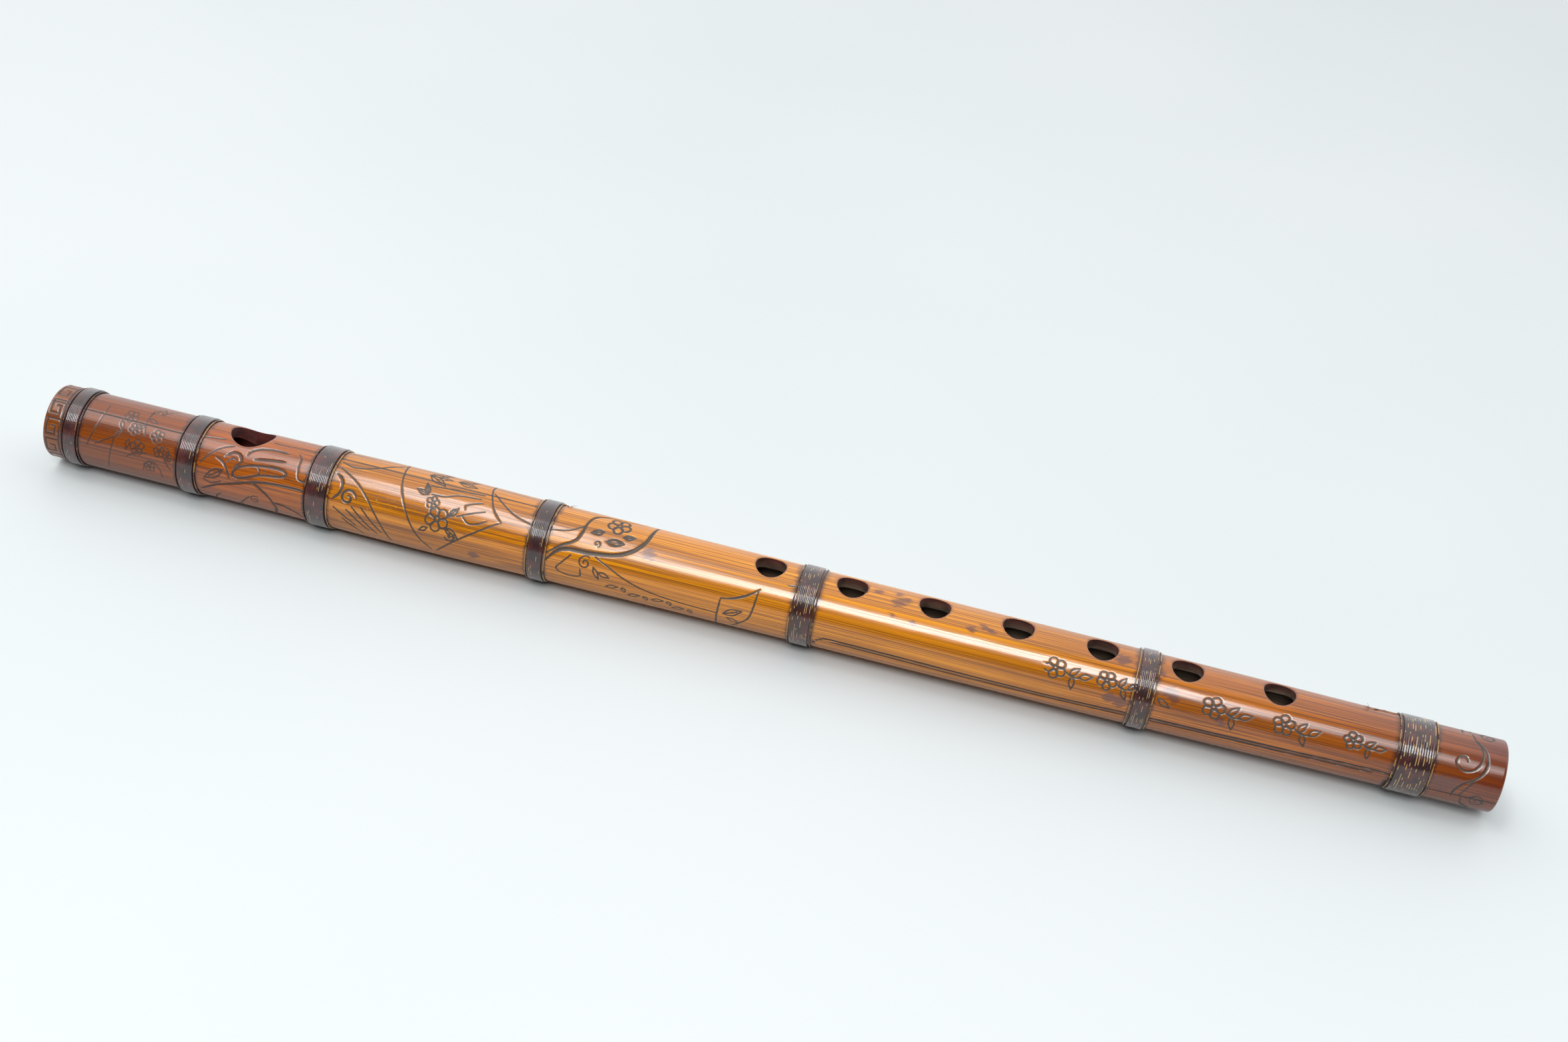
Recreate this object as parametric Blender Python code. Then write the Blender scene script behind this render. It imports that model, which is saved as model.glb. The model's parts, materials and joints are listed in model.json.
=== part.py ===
"""A side-blown bamboo flute: a bored tube with a blow hole, seven finger holes and seven thread bindings.

The bore runs along +X from the closed head to the open foot, and the finger holes face +Z. The origin
lies under the middle of the flute, on the surface that its thickest binding rests on. Lengths are in metres.
"""

import math

import bmesh
import bpy
from mathutils import Matrix, Vector

# Steps along the tube, from the head rim to the foot rim
HEAD_TO_EMBOUCHURE = 0.0554
EMBOUCHURE_TO_FIRST_HOLE = 0.1442
HOLE_PITCH = 0.0218
LAST_HOLE_PITCH = 0.0234
LAST_HOLE_TO_FOOT = 0.0570
FINGER_HOLES = 7

# The bamboo
HEAD_DIAMETER = 0.0200
EMBOUCHURE_DIAMETER = 0.0201
SWELL_DIAMETER = 0.0213
BARREL_DIAMETER = 0.0205
FIRST_HOLE_DIAMETER = 0.0200
FIFTH_HOLE_DIAMETER = 0.0196
FOOT_DIAMETER = 0.0184
EMBOUCHURE_TO_SWELL = 0.0524
BORE_DIAMETER = 0.0140
RIM_BEVEL = 0.0004
FINGER_HOLE_DIAMETER = 0.0081
EMBOUCHURE_LENGTH = 0.0117
EMBOUCHURE_WIDTH = 0.0114
EMBOUCHURE_TURN = math.radians(12.5)

# The plug and the stopper in the closed end
PLUG_LENGTH = 0.0080
PLUG_CLEARANCE = 0.0002
STOPPER_LENGTH = 0.0120
STOPPER_TO_EMBOUCHURE = 0.0140
STOPPER_CLEARANCE = 0.0001
STOPPER_BEVEL = 0.0006

# The bindings
THREAD_PITCH = 0.00045
THREAD_THICKNESS = 0.0005
WINDING_SHOULDER = 0.00012
BINDING_CLEARANCE = 0.00015
STRAND_CLEARANCE = 0.0003
HEAD_BINDING_INSET = 0.0079
CROWN_BINDING_BEFORE_EMBOUCHURE = 0.0142
LIP_BINDING_AFTER_EMBOUCHURE = 0.0228
BARREL_BINDING_SHARE = 0.581
UPPER_BINDING_SHARE = 0.51
LOWER_BINDING_SHARE = 0.56
FOOT_BINDING_INSET = 0.0220

# The two loose ends of thread
TAIL_DIAMETER = 0.0004
TAIL_CLEARANCE = 0.0003
BARREL_TAIL_REACH = 0.0025
BARREL_TAIL_ANGLES = (math.radians(36), math.radians(20))
FOOT_TAIL_REACH = 0.0085
FOOT_TAIL_ANGLES = (math.radians(27), math.radians(20))
TAIL_POINTS = 9

# Facets: a flat lies straight down, so the flute rests without rolling
FACETS = 24
TUBE_RINGS = 20
HOLE_FACETS = 24
STRAND_FACETS = 6
HALF_FACET = math.pi / FACETS

EMBOUCHURE_X = HEAD_TO_EMBOUCHURE
FIRST_HOLE_X = EMBOUCHURE_X + EMBOUCHURE_TO_FIRST_HOLE


def hole_places():
    """The finger holes' centres, head to foot, as distances from the head rim."""
    places = [FIRST_HOLE_X + HOLE_PITCH * i for i in range(FINGER_HOLES - 1)]
    return places + [places[-1] + LAST_HOLE_PITCH]


def between(start, end, share):
    return start + (end - start) * share


HOLES = hole_places()
TUBE_LENGTH = HOLES[-1] + LAST_HOLE_TO_FOOT
BARREL_BINDING_X = between(EMBOUCHURE_X, HOLES[0], BARREL_BINDING_SHARE)
TUBE_STATIONS = (
    (0.0, HEAD_DIAMETER / 2),
    (EMBOUCHURE_X, EMBOUCHURE_DIAMETER / 2),
    (EMBOUCHURE_X + EMBOUCHURE_TO_SWELL, SWELL_DIAMETER / 2),
    (BARREL_BINDING_X, BARREL_DIAMETER / 2),
    (HOLES[0], FIRST_HOLE_DIAMETER / 2),
    (HOLES[4], FIFTH_HOLE_DIAMETER / 2),
    (TUBE_LENGTH, FOOT_DIAMETER / 2),
)

# Name, centre along the tube and turns of thread of each binding, head to foot
BINDINGS = (
    ("head_end", HEAD_BINDING_INSET, 8),
    ("crown", EMBOUCHURE_X - CROWN_BINDING_BEFORE_EMBOUCHURE, 10),
    ("lip", EMBOUCHURE_X + LIP_BINDING_AFTER_EMBOUCHURE, 12),
    ("barrel", BARREL_BINDING_X, 9),
    ("upper_hand", between(HOLES[0], HOLES[1], UPPER_BINDING_SHARE), 11),
    ("lower_hand", between(HOLES[4], HOLES[5], LOWER_BINDING_SHARE), 9),
    ("foot_end", TUBE_LENGTH - FOOT_BINDING_INSET, 18),
)


def station_slope(index):
    """The tube wall's slope at a station, level at both ends of the tube and where it swells."""
    if index in (0, len(TUBE_STATIONS) - 1):
        return 0.0
    (x0, r0), (x1, r1), (x2, r2) = TUBE_STATIONS[index - 1:index + 2]
    before = (r1 - r0) / (x1 - x0)
    after = (r2 - r1) / (x2 - x1)
    return 0.0 if before * after <= 0 else 2 * before * after / (before + after)


def tube_radius(x):
    """The tube's outer radius at a distance from the head rim, on a smooth curve through the stations."""
    x = min(max(x, 0.0), TUBE_LENGTH)
    index = max(i for i, station in enumerate(TUBE_STATIONS[:-1]) if station[0] <= x)
    (x0, r0), (x1, r1) = TUBE_STATIONS[index:index + 2]
    span = x1 - x0
    t = (x - x0) / span
    return (
        r0 * (1 + 2 * t) * (1 - t) ** 2
        + r1 * t * t * (3 - 2 * t)
        + station_slope(index) * span * t * (1 - t) ** 2
        - station_slope(index + 1) * span * t * t * (1 - t)
    )


def binding_rings(centre, turns):
    """Where a binding's head side strand, winding and foot side strand start and end along the tube."""
    half = turns * THREAD_PITCH / 2
    inside = half + STRAND_CLEARANCE
    outside = inside + THREAD_THICKNESS
    return (
        (centre - outside, centre - inside),
        (centre - half, centre + half),
        (centre + inside, centre + outside),
    )


def seat_radius(start, end):
    """The inner radius of a ring that clears the tube from start to end."""
    widest = max(tube_radius(between(start, end, share)) for share in (0.0, 0.25, 0.5, 0.75, 1.0))
    return widest + BINDING_CLEARANCE


RING_RADII = [seat_radius(*ring) + THREAD_THICKNESS for row in BINDINGS for ring in binding_rings(*row[1:])]
AXIS_HEIGHT = max(RING_RADII)
HEAD_RIM = Vector((-TUBE_LENGTH / 2, 0.0, AXIS_HEIGHT))


def clear_scene():
    for obj in list(bpy.data.objects):
        bpy.data.objects.remove(obj, do_unlink=True)


def material(name, color, roughness, coat=0.0):
    made = bpy.data.materials.new(name)
    made.use_nodes = True
    shader = made.node_tree.nodes["Principled BSDF"]
    shader.inputs["Base Color"].default_value = (*color, 1.0)
    shader.inputs["Roughness"].default_value = roughness
    shader.inputs["Metallic"].default_value = 0.0
    shader.inputs["Coat Weight"].default_value = coat
    made.diffuse_color = (*color, 1.0)
    return made


def add_object(name, mesh, looks):
    obj = bpy.data.objects.new(name, mesh)
    bpy.context.scene.collection.objects.link(obj)
    if looks:
        mesh.materials.append(looks)
    mesh.shade_smooth()
    mesh.set_sharp_from_angle(angle=math.radians(35))
    return obj


def turned_mesh(name, outline):
    """A closed ring about the bore, spun from an outline of (distance from the head rim, radius) points."""
    bm = bmesh.new()
    corner = 1 / math.cos(HALF_FACET)
    points = [Vector((x, 0.0, radius * corner)) for x, radius in outline]
    loop = [bm.verts.new(Matrix.Rotation(HALF_FACET, 3, "X") @ point) for point in points]
    edges = [bm.edges.new((a, b)) for a, b in zip(loop, loop[1:] + loop[:1])]
    bmesh.ops.spin(bm, geom=loop + edges, cent=(0, 0, 0), axis=(1, 0, 0), angle=math.tau, steps=FACETS,
                   use_merge=True)
    bmesh.ops.remove_doubles(bm, verts=bm.verts, dist=1e-7)
    bmesh.ops.recalc_face_normals(bm, faces=bm.faces)
    mesh = bpy.data.meshes.new(name)
    bm.to_mesh(mesh)
    bm.free()
    return mesh


def turned_disc_mesh(name, start, end, radius, bevel):
    """A solid round plug along the bore, with a bevel round both end faces."""
    bm = bmesh.new()
    bmesh.ops.create_cone(bm, cap_ends=True, segments=FACETS, radius1=radius / math.cos(HALF_FACET),
                          radius2=radius / math.cos(HALF_FACET), depth=end - start)
    turn = Matrix.Rotation(math.pi / 2, 4, "Y") @ Matrix.Rotation(HALF_FACET, 4, "Z")
    bmesh.ops.transform(bm, matrix=Matrix.Translation(((start + end) / 2, 0, 0)) @ turn, verts=bm.verts)
    rims = [edge for edge in bm.edges if abs(edge.verts[0].co.x - edge.verts[1].co.x) < bevel / 2]
    bmesh.ops.bevel(bm, geom=rims, offset=bevel, segments=1, affect="EDGES")
    mesh = bpy.data.meshes.new(name)
    bm.to_mesh(mesh)
    bm.free()
    return mesh


def on_flute(obj):
    """Places an object, whose mesh counts X from the head rim, on the bore's axis."""
    obj.location = HEAD_RIM
    return obj


def hole_cutter(name, x, length, width, collection, turn=0.0):
    """A hidden oval peg from the bore's axis up through the wall, turned about the bore towards +Y."""
    bm = bmesh.new()
    reach = SWELL_DIAMETER
    bmesh.ops.create_cone(bm, cap_ends=True, segments=HOLE_FACETS, radius1=0.5, radius2=0.5, depth=reach)
    bmesh.ops.scale(bm, vec=(length, width, 1.0), verts=bm.verts)
    bmesh.ops.translate(bm, vec=(x, 0.0, reach / 2), verts=bm.verts)
    mesh = bpy.data.meshes.new(name)
    bm.to_mesh(mesh)
    bm.free()
    cutter = bpy.data.objects.new(name, mesh)
    collection.objects.link(cutter)
    cutter.hide_render = True
    cutter.display_type = "WIRE"
    cutter.rotation_euler.x = -turn
    return on_flute(cutter)


def tube_outline():
    """The bamboo's wall: out along the bore, and back along the outside from foot to head."""
    bore = BORE_DIAMETER / 2
    outside = [(RIM_BEVEL, tube_radius(RIM_BEVEL))]
    outside += [(x, tube_radius(x)) for x in (TUBE_LENGTH * i / TUBE_RINGS for i in range(1, TUBE_RINGS))]
    outside += [(TUBE_LENGTH - RIM_BEVEL, tube_radius(TUBE_LENGTH - RIM_BEVEL))]
    foot_rim = [(TUBE_LENGTH, bore), (TUBE_LENGTH, tube_radius(TUBE_LENGTH) - RIM_BEVEL)]
    head_rim = [(0.0, tube_radius(0.0) - RIM_BEVEL), (0.0, bore)]
    return foot_rim + outside[::-1] + head_rim


def make_tube():
    bamboo = material("lacquered_bamboo", (0.42, 0.14, 0.025), 0.22, coat=0.6)
    tube = on_flute(add_object("bamboo_tube", turned_mesh("bamboo_tube", tube_outline()), bamboo))
    cutters = bpy.data.collections.new("hole_cutters")
    bpy.context.scene.collection.children.link(cutters)
    hole_cutter(
        "embouchure_cutter", EMBOUCHURE_X, EMBOUCHURE_LENGTH, EMBOUCHURE_WIDTH, cutters, EMBOUCHURE_TURN
    )
    for number, x in enumerate(HOLES, start=1):
        hole_cutter(f"finger_hole_cutter_{number}", x, FINGER_HOLE_DIAMETER, FINGER_HOLE_DIAMETER, cutters)
    holes = tube.modifiers.new("holes", "BOOLEAN")
    holes.operation = "DIFFERENCE"
    holes.operand_type = "COLLECTION"
    holes.collection = cutters
    holes.solver = "EXACT"


def make_closed_end():
    """The plug in the head rim, and the cork stopper that slides in the bore."""
    wood = material("plug_wood", (0.20, 0.06, 0.02), 0.5)
    radius = BORE_DIAMETER / 2 - PLUG_CLEARANCE
    plug = turned_disc_mesh("head_plug", 0.0, PLUG_LENGTH, radius, RIM_BEVEL)
    on_flute(add_object("head_plug", plug, wood))
    cork = material("cork", (0.50, 0.30, 0.15), 0.85)
    radius = BORE_DIAMETER / 2 - STOPPER_CLEARANCE
    stopper = turned_disc_mesh("cork_stopper", -STOPPER_LENGTH, 0.0, radius, STOPPER_BEVEL)
    placed = add_object("cork_stopper", stopper, cork)
    placed.location = HEAD_RIM + Vector((EMBOUCHURE_X - STOPPER_TO_EMBOUCHURE, 0.0, 0.0))


def make_winding(name, start, end, looks):
    """The wound thread as one ring with rounded shoulders."""
    inner = seat_radius(start, end)
    outer = inner + THREAD_THICKNESS
    outline = [
        (start, inner),
        (start, outer - WINDING_SHOULDER),
        (start + WINDING_SHOULDER, outer),
        (end - WINDING_SHOULDER, outer),
        (end, outer - WINDING_SHOULDER),
        (end, inner),
    ]
    on_flute(add_object(name, turned_mesh(name, outline), looks))


def make_edge_strand(name, start, end, looks):
    """One strand tied round the tube beside a winding."""
    half = THREAD_THICKNESS / 2
    middle = seat_radius(start, end) + half
    centre = (start + end) / 2
    angles = [math.tau * (i + 0.5) / STRAND_FACETS for i in range(STRAND_FACETS)]
    outline = [(centre + half * math.cos(a), middle + half * math.sin(a)) for a in angles]
    on_flute(add_object(name, turned_mesh(name, outline), looks))


def make_bindings():
    thread = material("lacquered_thread", (0.075, 0.018, 0.014), 0.3, coat=0.5)
    golden = material("golden_thread", (0.32, 0.17, 0.05), 0.45)
    for name, centre, turns in BINDINGS:
        head_side, winding, foot_side = binding_rings(centre, turns)
        make_edge_strand(f"{name}_binding_head_side_strand", *head_side, golden)
        make_winding(f"{name}_binding_thread", *winding, thread)
        make_edge_strand(f"{name}_binding_foot_side_strand", *foot_side, golden)


def make_tail(name, start, reach, angles, looks):
    """A loose end of thread that lies on the bamboo, from beside its binding along and round the tube."""
    curve = bpy.data.curves.new(name, "CURVE")
    curve.dimensions = "3D"
    curve.bevel_depth = TAIL_DIAMETER / 2
    curve.bevel_resolution = 1
    curve.use_fill_caps = True
    spline = curve.splines.new("POLY")
    spline.points.add(TAIL_POINTS - 1)
    for i, point in enumerate(spline.points):
        share = i / (TAIL_POINTS - 1)
        x = start + reach * share
        angle = between(*angles, share)
        lift = tube_radius(x) / math.cos(HALF_FACET) + TAIL_CLEARANCE + TAIL_DIAMETER / 2
        point.co = (x, lift * math.sin(angle), lift * math.cos(angle), 1.0)
    curve.materials.append(looks)
    obj = bpy.data.objects.new(name, curve)
    bpy.context.scene.collection.objects.link(obj)
    on_flute(obj)


def beside_binding(name, side):
    """Where a loose end starts, clear of a binding: side is -1 towards the head and 1 towards the foot."""
    centre, turns = next(row[1:] for row in BINDINGS if row[0] == name)
    rings = binding_rings(centre, turns)
    edge = rings[0][0] if side < 0 else rings[-1][1]
    return edge + side * STRAND_CLEARANCE


def make_tails():
    looks = material("loose_thread", (0.12, 0.05, 0.03), 0.6)
    make_tail("barrel_binding_thread_end", beside_binding("barrel", 1), BARREL_TAIL_REACH,
              BARREL_TAIL_ANGLES, looks)
    make_tail("foot_end_binding_thread_end", beside_binding("foot_end", -1), -FOOT_TAIL_REACH,
              FOOT_TAIL_ANGLES, looks)


def build():
    clear_scene()
    make_tube()
    make_closed_end()
    make_bindings()
    make_tails()


build()
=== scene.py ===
"""The looks of a carved and lacquered bamboo flute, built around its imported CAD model.

Along the flute, s counts millimetres from the head rim. Round it, a counts millimetres on a circle of 10 mm
radius, from the line of the finger holes towards -Y, the side that faces the camera.
"""

import json
import math

import bpy
import numpy as np
from mathutils import Euler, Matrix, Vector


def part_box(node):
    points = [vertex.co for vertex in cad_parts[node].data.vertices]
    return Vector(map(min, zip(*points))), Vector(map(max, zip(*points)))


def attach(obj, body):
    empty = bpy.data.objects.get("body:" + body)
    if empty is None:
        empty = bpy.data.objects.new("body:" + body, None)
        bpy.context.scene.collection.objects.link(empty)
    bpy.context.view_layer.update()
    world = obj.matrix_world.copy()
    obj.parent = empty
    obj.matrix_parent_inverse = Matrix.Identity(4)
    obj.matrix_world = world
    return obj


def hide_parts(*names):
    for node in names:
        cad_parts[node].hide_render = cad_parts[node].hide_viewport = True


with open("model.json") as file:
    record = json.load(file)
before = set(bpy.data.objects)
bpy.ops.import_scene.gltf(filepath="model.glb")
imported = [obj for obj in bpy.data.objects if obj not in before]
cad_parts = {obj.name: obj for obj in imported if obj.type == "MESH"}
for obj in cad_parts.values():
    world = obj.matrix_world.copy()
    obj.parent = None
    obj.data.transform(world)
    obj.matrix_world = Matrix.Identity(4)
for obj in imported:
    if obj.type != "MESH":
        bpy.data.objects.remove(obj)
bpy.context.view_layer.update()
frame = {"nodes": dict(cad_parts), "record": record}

MM = 0.001
ROUND = 10.0  # the radius, in mm, of the circle on which a is counted
GIRTH = math.tau * ROUND
SEED = 7

TUBE_LOW, TUBE_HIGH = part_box("bamboo_tube")
HEAD_X = TUBE_LOW.x
LENGTH = (TUBE_HIGH.x - TUBE_LOW.x) / MM
AXIS_Z = (TUBE_LOW.z + TUBE_HIGH.z) / 2
BORE_RADIUS = 7.0
HOLE_RADIUS = 4.05
EMBOUCHURE_SIZE = (5.85, 5.7)
EMBOUCHURE_TURN = math.radians(12.5)
CAD_FACETS = 24

BINDINGS = {  # how worn the lacquer is, how golden the head-side and foot-side strands are, and mm per turn
    "head_end": (0.1, (0.1, 0.25), 0.45),
    "crown": (0.15, (0.3, 0.8), 0.45),
    "lip": (0.35, (0.5, 0.9), 0.45),
    "barrel": (0.3, (0.8, 0.9), 0.45),
    "upper_hand": (0.75, (0.7, 0.4), 0.45),
    "lower_hand": (0.7, (0.9, 0.9), 0.45),
    "foot_end": (0.85, (0.6, 0.8), 0.62),
}
BINDING_NAMES = tuple(BINDINGS)


# ---- places read from the frame

def opening_place(name):
    """The middle of a stated opening, in mm from the head rim."""
    boxes = {row["name"]: row["box_m"] for row in frame["record"]["physics"]["openings"]}
    low, high = boxes[name]
    return ((low[0] + high[0]) / 2 - HEAD_X) / MM


def node_span(node):
    """Where a CAD node starts and ends along the flute, and its outer radius, in mm."""
    low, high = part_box(node)
    return (low.x - HEAD_X) / MM, (high.x - HEAD_X) / MM, (high.y - low.y) / 2 / MM


EMBOUCHURE = opening_place("embouchure")
HOLES = [opening_place(f"finger_hole_{i}") for i in range(1, 8)]

# Each hole's place along the flute, its turn about the bore towards +Y and half its length and width
DRILLED = [(EMBOUCHURE, EMBOUCHURE_TURN, *EMBOUCHURE_SIZE)]
DRILLED += [(place, 0.0, HOLE_RADIUS, HOLE_RADIUS) for place in HOLES]


def tube_profile():
    """The CAD tube's outer radius at its own rings: places and radii in mm."""
    points = np.array([v.co for v in frame["nodes"]["bamboo_tube"].data.vertices])
    place = (points[:, 0] - HEAD_X) / MM
    radius = np.hypot(points[:, 1], points[:, 2] - AXIS_Z) / MM * math.cos(math.pi / CAD_FACETS)
    under = (points[:, 2] < AXIS_Z - 6 * MM) & (radius > BORE_RADIUS + 0.5)
    rings = sorted({round(float(p), 1) for p in place[under]})
    inner = [r for r in rings if 1.0 < r < LENGTH - 1.0]
    return np.array(inner), np.array([radius[under & (abs(place - r) < 0.2)].max() for r in inner])


PROFILE_S, PROFILE_R = tube_profile()


def tube_radius(s):
    """The tube's outer radius in mm, smoothed between the CAD tube's rings."""
    s = np.asarray(s, float)
    shifts = np.linspace(-14.0, 14.0, 9)
    weights = np.cos(shifts / 14.0 * math.pi / 2) + 0.05
    values = sum(w * np.interp(s + d, PROFILE_S, PROFILE_R) for w, d in zip(weights, shifts))
    return values / weights.sum()


# ---- helpers

def wander(value, period, seed, around=False):
    """Smooth seeded noise from -1 to 1 along a line, which repeats after one girth where it goes around."""
    count = max(4, int(round(GIRTH / period))) if around else 4096
    knots = np.random.default_rng(seed).uniform(-1, 1, count)
    place = np.asarray(value, float) / (GIRTH / count if around else period) + 64
    index = np.floor(place).astype(int)
    t = place - index
    t = t * t * (3 - 2 * t)
    return knots[index % count] * (1 - t) + knots[(index + 1) % count] * t


def full_turn(columns):
    """Angles spread evenly over one turn about the bore."""
    return np.linspace(-math.pi, math.pi, columns, endpoint=False)


def add_object(name, data):
    obj = bpy.data.objects.new(name, data)
    bpy.context.scene.collection.objects.link(obj)
    return obj


def add_piece(name, mesh, body, nodes, looks, sharp=50):
    """Links a finished mesh, and says what it rides on, what it replaces and what it is made of."""
    obj = add_object(name, mesh)
    mesh.materials.clear()
    mesh.materials.append(looks)
    mesh.shade_smooth()
    mesh.set_sharp_from_angle(angle=math.radians(sharp))
    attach(obj, body)
    if nodes:
        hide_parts(*nodes)
    return obj


def mesh_of(name, points, quads):
    """A mesh from arrays of points and of four-cornered faces."""
    mesh = bpy.data.meshes.new(name)
    mesh.vertices.add(len(points))
    mesh.vertices.foreach_set("co", np.asarray(points, np.float32).ravel())
    mesh.loops.add(quads.size)
    mesh.loops.foreach_set("vertex_index", np.asarray(quads, np.int32).ravel())
    mesh.polygons.add(len(quads))
    mesh.polygons.foreach_set("loop_start", np.arange(0, quads.size, 4, dtype=np.int32))
    mesh.update(calc_edges=True)
    mesh.validate()
    return mesh


def place_round(s, radius, theta):
    """Points of the row frame from places in mm along, out and round the bore."""
    s, radius, theta = np.broadcast_arrays(s, radius, theta)
    return np.stack([
        HEAD_X + s * MM,
        radius * np.sin(theta) * MM,
        AXIS_Z + radius * np.cos(theta) * MM,
    ], axis=-1)


def ring_mesh(name, s, radius, theta):
    """A closed ring about the bore: row i of the grid is a point of its outline, column j an angle."""
    points = place_round(s, radius, theta)
    rows, columns = points.shape[:2]
    index = np.arange(rows * columns).reshape(rows, columns)
    beside = np.roll(index, -1, axis=1)
    quads = np.stack([index, beside, np.roll(beside, -1, axis=0), np.roll(index, -1, axis=0)], -1)
    quads = quads.reshape(-1, 4)
    flat = points.reshape(-1, 3) - np.array([0, 0, AXIS_Z])
    a, b, c, d = (flat[quads[:, k]] for k in range(4))
    volume = np.einsum("ij,ij->i", a, np.cross(b, c) + np.cross(c, d)).sum()
    return mesh_of(name, points.reshape(-1, 3), quads if volume > 0 else quads[:, ::-1])


def set_attribute(mesh, name, values):
    layer = mesh.attributes.new(name, "FLOAT", "POINT")
    layer.data.foreach_set("value", np.asarray(values, np.float32).ravel())


# ---- material building

class Looks:
    """A material under construction, with short ways to add and join its nodes."""

    def __init__(self, name, roughness=0.5, coat=0.0, coat_roughness=0.1, specular=0.5):
        self.material = bpy.data.materials.new(name)
        self.material.use_nodes = True
        self.nodes = self.material.node_tree.nodes
        self.links = self.material.node_tree.links
        self.shader = self.nodes["Principled BSDF"]
        self.shader.inputs["Roughness"].default_value = roughness
        self.shader.inputs["Coat Weight"].default_value = coat
        self.shader.inputs["Coat Roughness"].default_value = coat_roughness
        self.shader.inputs["Specular IOR Level"].default_value = specular

    def feed(self, socket, value):
        if isinstance(value, bpy.types.NodeSocket):
            self.links.new(value, socket)
        elif isinstance(value, tuple) and len(value) == 3 and socket.type == "RGBA":
            socket.default_value = (*value, 1.0)
        else:
            socket.default_value = value

    def add(self, kind, inputs=(), **settings):
        """A new node, with its settings and with what its inputs hold or are joined to."""
        node = self.nodes.new("ShaderNode" + kind)
        for key, value in settings.items():
            setattr(node, key, value)
        for key, value in dict(inputs).items():
            self.feed(node.inputs[key], value)
        return node

    def attribute(self, name):
        return self.add("Attribute", attribute_name=name).outputs["Fac"]

    def place(self, **how):
        """The piece's own coordinates in metres, scaled or moved."""
        own = self.add("TexCoord").outputs["Object"]
        return self.add("Mapping", {"Vector": own, **how}).outputs["Vector"]

    def noise(self, vector, detail=3.0, rough=0.55):
        inputs = {"Vector": vector, "Scale": 1.0, "Detail": detail, "Roughness": rough}
        return self.add("TexNoise", inputs).outputs["Fac"]

    def texture(self, along, across, detail=3.0, rough=0.55):
        """Noise in the piece's own coordinates, from its scale along the flute and across it."""
        return self.noise(self.place(Scale=(along, across, across)), detail, rough)

    def plane_noise(self, across, up, detail):
        return self.noise(self.add("CombineXYZ", {0: across, 1: up}).outputs[0], detail)

    def math(self, operation, a, b=0.0, clamp=False):
        return self.add("Math", {0: a, 1: b}, operation=operation, use_clamp=clamp).outputs[0]

    def times(self, a, b):
        return self.math("MULTIPLY", a, b)

    def plus(self, a, b, clamp=False):
        return self.math("ADD", a, b, clamp)

    def step(self, value, low, high, to_low=0.0, to_high=1.0):
        inputs = {"Value": value, "From Min": low, "From Max": high, "To Min": to_low, "To Max": to_high}
        return self.add("MapRange", inputs, interpolation_type="SMOOTHSTEP").outputs["Result"]

    def mix(self, share, a, b, blend="MIX"):
        return self.add("Mix", {"Factor": share, 6: a, 7: b}, data_type="RGBA", blend_type=blend).outputs[2]

    def layers(self, color, *rows):
        """A colour with others laid over it in turn. Each row is how much of one shows, and that colour."""
        for share, over in rows:
            color = self.mix(share, color, over)
        return color

    def ramp(self, value, stops):
        node = self.add("ValToRGB", {"Fac": value})
        elements = node.color_ramp.elements
        while len(elements) < len(stops):
            elements.new(0.5)
        for element, (place, color) in zip(elements, stops):
            element.position = place
            element.color = (*color, 1.0)
        return node.outputs["Color"]

    def bump(self, height, strength, distance, normal=None):
        inputs = {"Height": height, "Strength": strength, "Distance": distance}
        if normal is not None:
            inputs["Normal"] = normal
        return self.add("Bump", inputs).outputs["Normal"]

    def done(self, color, roughness=None, normal=None):
        self.feed(self.shader.inputs["Base Color"], color)
        if roughness is not None:
            self.feed(self.shader.inputs["Roughness"], roughness)
        if normal is not None:
            self.feed(self.shader.inputs["Normal"], normal)
        return self.material


def srgb(red, green, blue):
    """A colour given as it looks on screen, from 0 to 255, as the shader's linear values."""
    return tuple(((c / 255 + 0.055) / 1.055) ** 2.4 if c > 10 else c / 3294.6 for c in (red, green, blue))


# ---- carving

def curve_through(points, gap=0.12):
    """Points close together on a smooth curve through the given ones."""
    p = np.array(points, float)
    if len(p) == 2:
        count = max(2, int(np.linalg.norm(p[1] - p[0]) / gap))
        return p[0] + (p[1] - p[0]) * np.linspace(0, 1, count)[:, None]
    p = np.vstack([2 * p[0] - p[1], p, 2 * p[-1] - p[-2]])
    parts = []
    for a, b, c, d in zip(p, p[1:], p[2:], p[3:]):
        count = max(2, int(np.linalg.norm(c - b) / gap))
        t = np.linspace(0, 1, count, endpoint=False)[:, None]
        parts.append(0.5 * (2 * b + (c - a) * t + (2 * a - 5 * b + 4 * c - d) * t ** 2
                            + (3 * b - a - 3 * c + d) * t ** 3))
    return np.vstack(parts + [p[-2:-1]])


def straight_through(points, gap=0.12):
    """Points close together on the straight lines from one given point to the next."""
    return np.vstack([curve_through(pair, gap) for pair in zip(points, points[1:])])


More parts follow.
